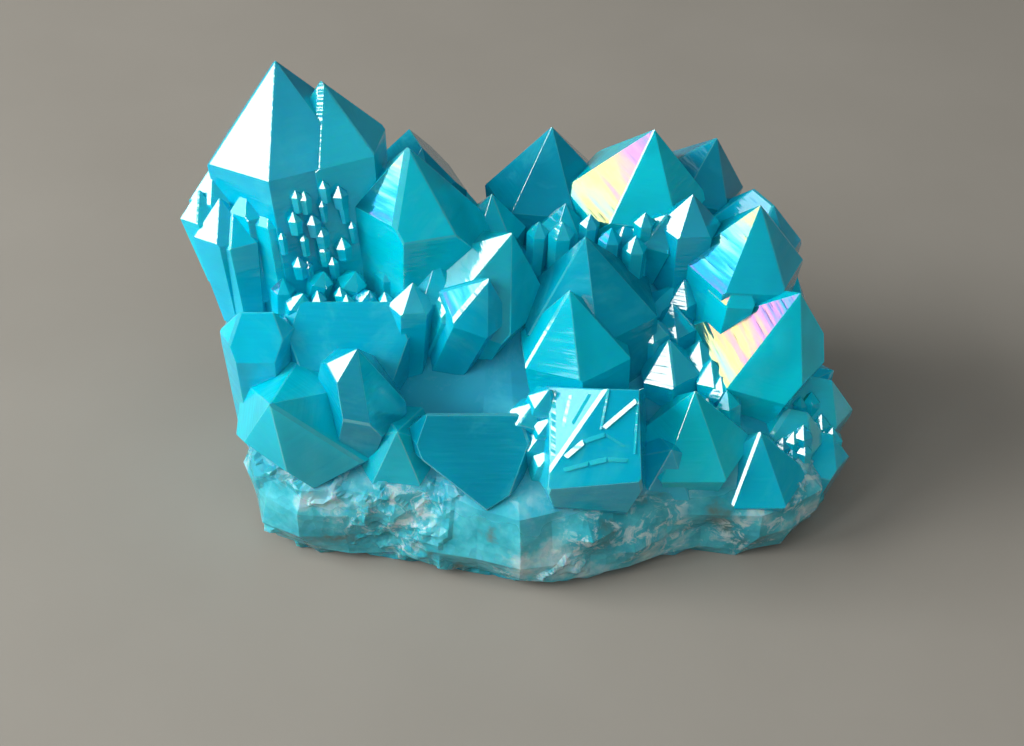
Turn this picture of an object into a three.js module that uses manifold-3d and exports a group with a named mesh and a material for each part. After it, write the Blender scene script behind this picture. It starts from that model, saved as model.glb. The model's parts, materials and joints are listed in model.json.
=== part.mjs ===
// An aqua aura quartz cluster: a palm-sized slab of broken massive quartz with stout, six-sided quartz
// points crowded over its top and sides. All of it grew as one piece, so it is one solid.
// Millimetres, +Z up, origin on the surface that it rests on, under the middle of its length and depth.
// +X runs along its length and -Y is its front.
import * as THREE from "three";
import { mergeVertices } from "three/addons/utils/BufferGeometryUtils.js";
import Module from "manifold-3d";

const wasm = await Module();
wasm.setup();

// ---- Quartz habit -------------------------------------------------------------------------------

const SIDES = 6;
const SIDE_ANGLE = (2 * Math.PI) / SIDES;
const FACE_FROM_AXIS = THREE.MathUtils.degToRad(38.2); // a termination face leans this far from the axis
const ROOT_SHARE = 0.8; // usual width of a point's buried end as a share of its full width

// ---- Attitudes ----------------------------------------------------------------------------------
// Points of one family grew parallel. lean: degrees from upright. toward: compass direction of the
// lean, 0 along +X and 90 along +Y. turn: degrees that the point is turned about its own axis.

const ATTITUDES = {
  tall: { lean: 10, toward: 120, turn: 52 },
  ridge: { lean: 4, toward: 56, turn: 49 },
  back_middle: { lean: 3, toward: 90, turn: 21 },
  back_right: { lean: 9, toward: -26, turn: 31 },
  far_right: { lean: 16, toward: 0, turn: 34 },
  shoulder: { lean: 8, toward: 0, turn: 36 },
  low_right: { lean: 20, toward: -40, turn: 24 },
  centre: { lean: 5, toward: 150, turn: 5 },
  centre_left: { lean: 22, toward: -28, turn: 23 },
  front_left: { lean: 14, toward: -36, turn: 27 },
  upright: { lean: 4, toward: 30, turn: 38 },
  facing: { lean: 5, toward: -90, turn: 30 },
  forward: { lean: 34, toward: -88, turn: 28 },
  outward_left: { lean: 40, toward: -114, turn: 50 },
  sprawling_right: { lean: 46, toward: -20, turn: 12 },
  lumps: { lean: 14, toward: -40, turn: 25 },
  back_left: { lean: 30, toward: 135, turn: 20 },
  backward: { lean: 28, toward: 95, turn: 8 },
  back_corner: { lean: 33, toward: 50, turn: 41 },
  low_back: { lean: 58, toward: 100, turn: 25 },
};

// ---- Points -------------------------------------------------------------------------------------
// Each row is a point: its family, its tip, its radius (centre to side face) and its length (tip to
// buried end). setback: how far each termination face, counted from the one at the turn's direction,
// lies outside the tip. sides: how much further out than usual each side face lies, as a share. root:
// the width of the buried end as a share of the full width. cuts: planes that it is snapped off along.

const POINTS = [
  // The tall point at the left, its twin and the knot of small points on its outer side.
  { family: "tall", tip: [-34, 15, 66], radius: 11, length: 54 },
  { family: "tall", tip: [-27.5, 14, 63.2], radius: 7.4, length: 44 },
  { family: "tall", tip: [-43.6, 10, 51.6], radius: 4, length: 20, root: 0.35 },
  { family: "tall", tip: [-45.6, 7, 49], radius: 3.2, length: 15, root: 0.3 },
  { family: "tall", tip: [-42.4, 5, 49], radius: 4.2, length: 20, root: 0.5 },
  { family: "tall", tip: [-40.4, 3.6, 47.6], radius: 3.6, length: 20, root: 0.6 },
  { family: "tall", tip: [-38.3, 5.5, 50.8], radius: 3, length: 18 },
  { family: "tall", tip: [-35, 5.2, 51], radius: 3.8, length: 22 },
  // The ridge behind the middle.
  {
    family: "ridge",
    tip: [-15, 8, 55.8],
    radius: 9.5,
    length: 42,
    sides: [1.1, 1.05, 0.9, 0.72, 0.96, 1.35],
  },
  { family: "back_middle", tip: [-14.7, 24, 46.6], radius: 6.5, length: 34, setback: [0, 2, 2, 0, 2, 2] },
  { family: "back_middle", tip: [6, 22, 50], radius: 9, length: 38 },
  { family: "back_right", tip: [21, 16, 53.5], radius: 9.5, length: 40 },
  { family: "far_right", tip: [31, 22, 48], radius: 6.5, length: 36 },
  { family: "upright", tip: [26.5, 8, 47.5], radius: 4, length: 28 },
  { family: "low_right", tip: [22.8, 7, 44.6], radius: 3.6, length: 26 },
  { family: "upright", tip: [17, 9, 43], radius: 4, length: 24 },
  { family: "upright", tip: [8, 12, 43], radius: 4.5, length: 24 },
  { family: "upright", tip: [-3, 13, 44], radius: 4.5, length: 24 },
  // The right shoulder.
  { family: "shoulder", tip: [36.3, 6, 47], radius: 8, length: 38 },
  {
    family: "shoulder",
    tip: [37.6, 13, 43.6],
    radius: 6.6,
    length: 34,
    setback: [0, 1.5, 1.5, 0, 1.5, 1.5],
  },
  { family: "shoulder", tip: [33.7, 0.5, 40.2], radius: 3.8, length: 24 },
  {
    family: "low_right",
    tip: [41.8, -4, 38.5],
    radius: 7.8,
    length: 34,
    sides: [0.8, 0.9, 1.36, 1.42, 1.4, 1],
  },
  { family: "centre", tip: [23.8, 0.6, 33], radius: 3.4, length: 20 },
  { family: "centre", tip: [27.6, -4, 29.8], radius: 3.4, length: 18 },
  { family: "centre", tip: [23, -5.4, 31], radius: 4.4, length: 18 },
  { family: "centre", tip: [29.2, -7, 28.6], radius: 2.6, length: 16 },
  { family: "centre", tip: [30.6, -9, 27], radius: 2.2, length: 14 },
  { family: "centre", tip: [31.4, -11, 26], radius: 1.8, length: 14 },
  { family: "centre", tip: [25.6, 3.6, 35.2], radius: 2.6, length: 16 },
  { family: "centre", tip: [20.4, -2.4, 33], radius: 2.4, length: 18 },
  // The middle.
  { family: "centre", tip: [10.6, 1, 45], radius: 9.6, length: 36 },
  { family: "centre", tip: [8.2, -6, 40.6], radius: 8, length: 30 },
  { family: "centre_left", tip: [0, 1.1, 45.6], radius: 9.4, length: 36 },
  { family: "centre_left", tip: [-3.4, -4.2, 41.4], radius: 5, length: 26 },
  { family: "upright", tip: [-14.4, -3, 39.6], radius: 2.9, length: 22 },
  { family: "upright", tip: [-11, 1, 41], radius: 4, length: 24 },
  { family: "low_right", tip: [-30.4, -3, 37.6], radius: 1.8, length: 12 },
  { family: "low_right", tip: [-27.4, -0.6, 39.8], radius: 1.6, length: 14 },
  { family: "low_right", tip: [-22.8, 0, 39.4], radius: 2, length: 18 },
  { family: "low_right", tip: [-20.8, -2, 37.4], radius: 2.1, length: 12 },
  { family: "upright", tip: [-18, 2, 39.8], radius: 1.8, length: 12 },
  { family: "upright", tip: [-33.4, -1, 39], radius: 1.6, length: 12 },
  { family: "upright", tip: [4, 7.4, 43], radius: 1.5, length: 12 },
  { family: "upright", tip: [7.4, 5.8, 44.2], radius: 1.7, length: 12 },
  { family: "upright", tip: [11.6, 7.6, 44.2], radius: 1.4, length: 12 },
  { family: "upright", tip: [14.6, 5, 43.6], radius: 1.6, length: 12 },
  { family: "upright", tip: [18.2, 4.4, 42.6], radius: 1.7, length: 12 },
  { family: "upright", tip: [19.6, 6.6, 45.2], radius: 1.4, length: 12 },
  // The front left.
  { family: "facing", tip: [-24, -3.5, 36.5], radius: 9, length: 28, setback: [4.6, 0, 4.6, 4.6, 0, 4.6] },
  { family: "facing", tip: [-37, -6, 36.6], radius: 4.8, length: 26, setback: [1.6, 0, 1.6, 1.6, 0, 1.6] },
  {
    family: "front_left",
    tip: [-22, -13.6, 36],
    radius: 7.6,
    length: 30,
    sides: [1, 1, 0.6, 0.42, 0.9, 1.2],
  },
  {
    family: "outward_left",
    tip: [-34.4, -19.2, 30.4],
    radius: 10.6,
    length: 26,
    sides: [1.4, 1, 1, 0.7, 0.9, 1.75],
  },
  // The front, below the hollow.
  {
    family: "facing",
    tip: [-5.6, -17, 26.8],
    radius: 8.6,
    length: 26,
    setback: [4.4, 0, 4.4, 4.4, 0, 4.4],
    cuts: [
      { through: [-10, -22, 19], facing: [-0.62, -0.5, -0.6] },
      { through: [0.4, -24, 17.6], facing: [0.55, -0.5, -0.67] },
    ],
  },
  { family: "forward", tip: [-16.5, -19, 25], radius: 6.4, length: 22 },
  { family: "low_right", tip: [5.4, -16.6, 31], radius: 2.2, length: 14 },
  { family: "low_right", tip: [3.4, -16.6, 28.6], radius: 2.6, length: 14 },
  { family: "low_right", tip: [5.6, -18.4, 27], radius: 1.8, length: 12 },
  { family: "low_right", tip: [4.6, -18.6, 24.8], radius: 2.2, length: 12 },
  { family: "low_right", tip: [5.8, -20.6, 22.8], radius: 1.8, length: 12 },
  { family: "facing", tip: [26.4, -14, 28.4], radius: 8, length: 22, root: 0.5 },
  { family: "forward", tip: [23, -20, 22.4], radius: 6, length: 16, root: 0.4 },
  { family: "facing", tip: [36.2, -15, 21.4], radius: 7, length: 18, root: 0.35 },
  // The right edge.
  {
    family: "lumps",
    tip: [45.8, -4.4, 22.8],
    radius: 6.4,
    length: 22,
    setback: [1.4, 0, 1.4, 1.4, 0, 1.4],
  },
  { family: "lumps", tip: [42.4, -9.6, 20.8], radius: 5.2, length: 20, setback: [1, 0, 1, 1, 0, 1] },
  {
    family: "lumps",
    tip: [46.8, -9.6, 16.4],
    radius: 4.6,
    length: 18,
    setback: [0.8, 0, 0.8, 0.8, 0, 0.8],
  },
  { family: "sprawling_right", tip: [49.4, 3, 18], radius: 6, length: 20 },
  // The back.
  { family: "back_left", tip: [-40, 24, 38], radius: 7, length: 30 },
  { family: "backward", tip: [-27, 31, 42], radius: 7.5, length: 32 },
  { family: "back_left", tip: [-42, 17, 26], radius: 6, length: 22 },
  { family: "backward", tip: [-10, 32, 35], radius: 7, length: 28 },
  { family: "backward", tip: [6, 33, 38], radius: 7.5, length: 30 },
  { family: "back_corner", tip: [22, 31, 36], radius: 7, length: 28 },
  { family: "back_corner", tip: [36, 26, 33], radius: 7, length: 28 },
  { family: "back_corner", tip: [44, 14, 28], radius: 6, length: 24 },
  { family: "low_back", tip: [-20, 33.5, 24], radius: 6, length: 20 },
  { family: "low_back", tip: [-2, 35.5, 22], radius: 6.5, length: 20 },
  { family: "low_back", tip: [15, 35, 23], radius: 6, length: 20 },
  { family: "low_back", tip: [30, 32, 19], radius: 5.5, length: 18 },
  // A block at the front whose end snapped off, leaving broad faces.
  {
    family: "forward",
    tip: [12, -34, 46],
    radius: 11,
    length: 42,
    cuts: [
      { through: [12, -22.6, 28], facing: [-0.03, -0.86, 0.51] },
      { through: [10.3, -21.7, 29.6], facing: [-0.57, -0.46, 0.7] },
      { through: [12, -19.2, 33.2], facing: [0.02, 0.62, 0.78] },
      { through: [5.8, -20, 30], facing: [-1, -0.1, 0.15] },
      { through: [18.2, -20, 30], facing: [1, -0.1, 0.1] },
      { through: [12, -26.4, 21], facing: [0.05, -0.95, -0.3] },
    ],
  },
];

// ---- Small growth -------------------------------------------------------------------------------
// Steps: low, parallel points that stand a little out of the tall point's front side.
const STEP_SIDE = 4; // the side that they stand on
const STEP_COLUMNS = 9;
const STEP_ROWS = 8;
const STEP_FIRST = { along: -6.5, down: 14 }; // the first step, along the side and below the tall tip
const STEP_PITCH = { along: 2.4, down: 2.7 };
const STEP_RADIUS = 1.1;
const STEP_GAPS = 0.42; // the share of steps that are missing
const STEP_LENGTH = 10;
const STEP_SUNK = 1.5; // the most that a step's axis lies behind the side face

// Druse: little points that stand between the large ones, fanning outward from the middle.
const DRUSE_COUNT = 70;
const DRUSE_REACH = [44, 27]; // how far the druse spreads along the length and the depth
const DRUSE_TOP = 34; // height of its tips at the middle
const DRUSE_EDGE = 21; // height of its tips at the rim
const DRUSE_RADIUS = 2.6;
const DRUSE_LENGTH = 14;
const HOLLOW = { x: 4, y: -14, along: 34, across: 13 }; // an ellipse with no druse, and its half sizes
const GOLDEN_ANGLE = Math.PI * (3 - Math.sqrt(5));

// ---- Driving dimensions of the broken foot ------------------------------------------------------
// The outline where it meets the surface, anticlockwise from the left end of the front.

const FOOT_OUTLINE = [
  [-36, -17], [-30, -19.5], [-24, -20], [-18, -20.5], [-12, -22], [-5, -23.5], [1, -25.5], [6, -26.5],
  [11, -25], [17, -22.5], [23, -21], [29, -19.5], [35, -20], [40, -18], [44, -14.5], [47, -9.5],
  [47.6, -3], [46, 4], [44, 10], [41, 16], [37, 21], [31, 25], [24, 27], [16, 29],
  [8, 30], [0, 30], [-8, 29.5], [-16, 28], [-24, 27], [-31, 23], [-36, 17], [-39, 10],
  [-40, 3], [-39.5, -4], [-38.5, -11],
];
const FOOT_MIDDLE = [-2, 9];
// Each ring of the foot: its height, its size as a share of that outline, how far it stands outside
// that, how rough it is and how far back it is shifted.
const FOOT_RINGS = [
  { z: 0, share: 1, out: -1.4, rough: 0.8, back: 0 },
  { z: 1.8, share: 1, out: 0.8, rough: 1, back: 0 },
  { z: 6, share: 1, out: 1.6, rough: 2, back: 0 },
  { z: 10.5, share: 1, out: 2, rough: 2, back: 0 },
  { z: 14.5, share: 1, out: 0.4, rough: 2, back: 0 },
  { z: 18, share: 0.91, out: 0, rough: 1.8, back: 2 },
  { z: 21.5, share: 0.78, out: 0, rough: 1.6, back: 4 },
  { z: 25, share: 0.64, out: 0, rough: 1.2, back: 5 },
  { z: 34, share: 0.42, out: 0, rough: 0.8, back: 6 },
];

// ---- Helpers ------------------------------------------------------------------------------------

// A repeatable number from 0 to 1 for each whole-number seed.
function scatter(seed) {
  const wave = Math.sin(seed * 12.9898 + 4.1414) * 43758.5453;
  return wave - Math.floor(wave);
}

// A closed three.js geometry as a solid that can be joined and cut.
function solidOf(geometry) {
  const merged = mergeVertices(geometry, 1e-4);
  return new wasm.Manifold(
    new wasm.Mesh({
      numProp: 3,
      vertProperties: merged.attributes.position.array,
      triVerts: new Uint32Array(merged.index.array),
    }),
  );
}

// A solid as a flat-shaded three.js geometry.
function geometryOf(solid) {
  const { numProp, vertProperties, triVerts } = solid.getMesh();
  const position = new Float32Array(triVerts.length * 3);
  triVerts.forEach((vertex, corner) => {
    const start = vertex * numProp;
    position.set(vertProperties.subarray(start, start + 3), corner * 3);
  });
  const geometry = new THREE.BufferGeometry();
  geometry.setAttribute("position", new THREE.BufferAttribute(position, 3));
  geometry.computeVertexNormals();
  return geometry;
}

// A closed skin over rings of [x, y, z] corners, lowest ring first, each ring anticlockwise from above.
function skinOver(rings) {
  const position = [];
  const add = (...corners) => corners.forEach((corner) => position.push(...corner));
  const centreOf = (ring) => [0, 1, 2].map((i) => ring.reduce((sum, p) => sum + p[i], 0) / ring.length);
  for (let row = 0; row + 1 < rings.length; row++) {
    const [low, high] = [rings[row], rings[row + 1]];
    low.forEach((corner, column) => {
      const next = (column + 1) % low.length;
      if ((row + column) % 2) {
        add(corner, low[next], high[next]);
        add(corner, high[next], high[column]);
      } else {
        add(corner, low[next], high[column]);
        add(low[next], high[next], high[column]);
      }
    });
  }
  const [bottom, top] = [rings[0], rings.at(-1)];
  bottom.forEach((corner, column) => {
    const next = (column + 1) % bottom.length;
    add(bottom[next], corner, centreOf(bottom));
    add(top[column], top[next], centreOf(top));
  });
  const skin = new THREE.BufferGeometry();
  skin.setAttribute("position", new THREE.Float32BufferAttribute(position, 3));
  return skin;
}

// The rotation that leans +Z over and then turns about the leaned axis.
function rotationOf({ lean, toward, turn }) {
  const direction = THREE.MathUtils.degToRad(toward);
  const hinge = new THREE.Vector3(-Math.sin(direction), Math.cos(direction), 0);
  const leaned = new THREE.Quaternion().setFromAxisAngle(hinge, THREE.MathUtils.degToRad(lean));
  const turned = new THREE.Quaternion().setFromAxisAngle(
    new THREE.Vector3(0, 0, 1),
    THREE.MathUtils.degToRad(turn),
  );
  return leaned.multiply(turned);
}

// ---- One quartz point ---------------------------------------------------------------------------

// Corners of the six-sided cross-section whose side k lies reach[k] from the axis. Each corner is
// where two neighbouring side lines meet.
function crossSection(reach) {
  return reach.map((near, k) => {
    const far = reach[(k + 1) % SIDES];
    const a = k * SIDE_ANGLE;
    const b = (k + 1) * SIDE_ANGLE;
    const square = Math.sin(SIDE_ANGLE) ** 2;
    const shareA = (near - far * Math.cos(SIDE_ANGLE)) / square;
    const shareB = (far - near * Math.cos(SIDE_ANGLE)) / square;
    return [
      shareA * Math.cos(a) + shareB * Math.cos(b),
      shareA * Math.sin(a) + shareB * Math.sin(b),
    ];
  });
}

// A solid without the part that lies beyond a plane.
function cutBeyond(solid, facing, distance) {
  return solid.trimByPlane([-facing.x, -facing.y, -facing.z], -distance);
}

// How far a side face lies from the axis. No two sides of a point are quite alike.
function usualReach(radius, seed, side) {
  return radius * (0.92 + 0.16 * scatter(seed * 7 + side));
}

// A prism with unequal sides, whose end is cut by six planes. Planes with no setback meet at the tip.
function pointSolid(spec, seed) {
  const sides = spec.sides ?? [1, 1, 1, 1, 1, 1];
  const reach = sides.map((share, k) => share * usualReach(spec.radius, seed, k));
  const setback = spec.setback ?? [0, 0, 0, 0, 0, 0];
  const root = spec.root ?? ROOT_SHARE;
  const rotation = rotationOf(spec.attitude ?? ATTITUDES[spec.family]);
  const tip = new THREE.Vector3(...spec.tip);
  const corners = crossSection(reach);
  const shoulder = -1.2 * spec.radius;
  const prism = skinOver([
    corners.map(([x, y]) => [root * x, root * y, -spec.length]),
    corners.map(([x, y]) => [x, y, shoulder]),
    corners.map(([x, y]) => [x, y, 0]),
  ]);
  prism.applyQuaternion(rotation).translate(tip.x, tip.y, tip.z);
  let solid = solidOf(prism);
  for (let k = 0; k < SIDES; k++) {
    const facing = new THREE.Vector3(
      Math.cos(FACE_FROM_AXIS) * Math.cos(k * SIDE_ANGLE),
      Math.cos(FACE_FROM_AXIS) * Math.sin(k * SIDE_ANGLE),
      Math.sin(FACE_FROM_AXIS),
    ).applyQuaternion(rotation);
    solid = cutBeyond(solid, facing, facing.dot(tip) + setback[k]);
  }
  for (const cut of spec.cuts ?? []) {
    const facing = new THREE.Vector3(...cut.facing).normalize();
    solid = cutBeyond(solid, facing, facing.dot(new THREE.Vector3(...cut.through)));
  }
  return solid;
}

// The steps on the tall point's side, in rows that are jittered so that no two line up.
function stepPoints() {
  const [tall] = POINTS;
  const rotation = rotationOf(ATTITUDES[tall.family]);
  const side = STEP_SIDE * SIDE_ANGLE;
  const grid = Array.from({ length: STEP_COLUMNS * STEP_ROWS }, (_, index) => index);
  return grid.filter((index) => scatter(index + 450) >= STEP_GAPS).map((index) => {
    const column = index % STEP_COLUMNS;
    const row = Math.floor(index / STEP_COLUMNS);
    const out = usualReach(tall.radius, 1, STEP_SIDE) - STEP_SUNK * scatter(index + 350);
    const along = STEP_FIRST.along + STEP_PITCH.along * (column + 0.5 * (row % 2));
    const down = STEP_FIRST.down + STEP_PITCH.down * (row + 1.8 * (scatter(index + 300) - 0.5));
    const place = new THREE.Vector3(
      out * Math.cos(side) - along * Math.sin(side),
      out * Math.sin(side) + along * Math.cos(side),
      -down,
    ).applyQuaternion(rotation);
    return {
      family: tall.family,
      tip: tall.tip.map((value, i) => value + place.getComponent(i)),
      radius: STEP_RADIUS * (0.5 + 1.3 * scatter(index + 400) ** 2),
      length: STEP_LENGTH,
    };
  });
}

// The druse, spread evenly by the golden angle. Each point leans outward the more the nearer the rim.
function drusePoints() {
  return Array.from({ length: DRUSE_COUNT }, (_, index) => {
    const share = Math.sqrt((index + 0.5) / DRUSE_COUNT);
    const around = index * GOLDEN_ANGLE;
    const height = DRUSE_TOP + (DRUSE_EDGE - DRUSE_TOP) * share ** 3;
    return {
      attitude: {
        lean: 6 + 34 * share ** 2,
        toward: THREE.MathUtils.radToDeg(around) + 20 * (scatter(index + 500) - 0.5),
        turn: 60 * scatter(index + 600),
      },
      tip: [
        DRUSE_REACH[0] * share * Math.cos(around),
        DRUSE_REACH[1] * share * Math.sin(around) + 2,
        height + 5 * (scatter(index + 700) - 0.5),
      ],
      radius: DRUSE_RADIUS * (0.75 + 0.7 * scatter(index + 800)),
      length: DRUSE_LENGTH,
    };
  }).filter(({ tip: [x, y] }) => {
    return ((x - HOLLOW.x) / HOLLOW.along) ** 2 + ((y - HOLLOW.y) / HOLLOW.across) ** 2 >= 1;
  });
}

// ---- The broken foot ----------------------------------------------------------------------------

// Rings that follow the outline, each moved outward from the middle and roughened corner by corner.
function footSolid() {
  const rings = FOOT_RINGS.map((ring, row) =>
    FOOT_OUTLINE.map((corner, column) => {
      const [x, y] = corner.map((value, i) => value - FOOT_MIDDLE[i]);
      const span = Math.hypot(x, y);
      const chip = ring.rough * (2 * scatter(row * FOOT_OUTLINE.length + column) - 1);
      const share = ring.share + (ring.out + chip) / span;
      return [FOOT_MIDDLE[0] + share * x, FOOT_MIDDLE[1] + share * y + ring.back, ring.z];
    }),
  );
  return solidOf(skinOver(rings));
}

// ---- The cluster --------------------------------------------------------------------------------

let cluster = footSolid();
[...POINTS, ...stepPoints(), ...drusePoints()].forEach((spec, index) => {
  cluster = cluster.add(pointSolid(spec, index + 1));
});

// The whole underside is cut off flat where the piece rests.
cluster = cutBeyond(cluster, new THREE.Vector3(0, 0, -1), 0);

const quartz = new THREE.MeshStandardMaterial({ color: 0x149fb4, roughness: 0.12, metalness: 0 });
const mesh = new THREE.Mesh(geometryOf(cluster), quartz);
mesh.name = "quartz_cluster";

const group = new THREE.Group();
group.add(mesh);
export default group;
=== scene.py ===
"""Aqua aura quartz cluster: stout six-sided quartz points with a thin metal film, crowded on a broken foot.

Tables are in millimetres, +Z up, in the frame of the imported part. Meshes are in metres.
"""
import json

from itertools import combinations
from math import cos, degrees, pi, radians, sin, sqrt

import bmesh
import bpy
import numpy as np
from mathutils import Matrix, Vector

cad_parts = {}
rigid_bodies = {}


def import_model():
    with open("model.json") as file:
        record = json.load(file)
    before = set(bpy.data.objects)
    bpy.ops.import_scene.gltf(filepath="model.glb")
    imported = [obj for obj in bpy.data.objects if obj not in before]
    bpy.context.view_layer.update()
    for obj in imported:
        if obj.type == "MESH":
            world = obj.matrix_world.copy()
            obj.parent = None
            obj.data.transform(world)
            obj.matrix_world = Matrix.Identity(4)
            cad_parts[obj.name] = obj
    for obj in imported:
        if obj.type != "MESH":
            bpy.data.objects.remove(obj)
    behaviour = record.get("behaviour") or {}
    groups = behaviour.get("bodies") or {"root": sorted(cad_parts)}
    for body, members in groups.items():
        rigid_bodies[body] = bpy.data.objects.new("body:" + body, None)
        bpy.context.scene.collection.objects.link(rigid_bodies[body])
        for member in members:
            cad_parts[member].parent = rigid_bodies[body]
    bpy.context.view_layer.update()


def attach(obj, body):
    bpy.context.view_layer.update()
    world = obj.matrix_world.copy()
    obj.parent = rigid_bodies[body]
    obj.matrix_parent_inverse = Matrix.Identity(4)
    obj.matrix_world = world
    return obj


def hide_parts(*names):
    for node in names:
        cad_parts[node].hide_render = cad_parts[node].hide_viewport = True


MM = 0.001

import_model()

# ---- Quartz habit -------------------------------------------------------------------------------

SIDES = 6
SIDE_ANGLE = 2 * pi / SIDES
FACE_FROM_AXIS = radians(38.2)  # a termination face leans this far from the axis
ROOT_SHARE = 0.8  # width of a point's buried end as a share of its full width
SHOULDER_SHARE = 1.2  # depth below the tip, in radii, where the taper to the buried end starts

# Points of one family grew parallel: lean from upright, direction of the lean, turn about the axis.
ATTITUDES = {
    "tall": (10, 120, 52),
    "steps": (6, 142, 17),
    "crumbs": (4, 76, 3),
    "ridge": (4, 56, 49),
    "back_middle": (3, 90, 21),
    "back_right": (9, -26, 31),
    "far_right": (16, 0, 34),
    "shoulder": (8, 0, 36),
    "low_right": (20, -40, 24),
    "centre": (5, 150, 5),
    "centre_left": (22, -28, 23),
    "front_left": (14, -36, 27),
    "upright": (4, 30, 38),
    "facing": (5, -90, 30),
    "forward": (34, -88, 28),
    "outward_left": (40, -114, 50),
    "sprawling_right": (46, -20, 12),
    "lumps": (14, -40, 25),
    "back_left": (30, 135, 20),
    "backward": (28, 95, 8),
    "back_corner": (33, 50, 41),
    "low_back": (58, 100, 25),
}

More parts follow.
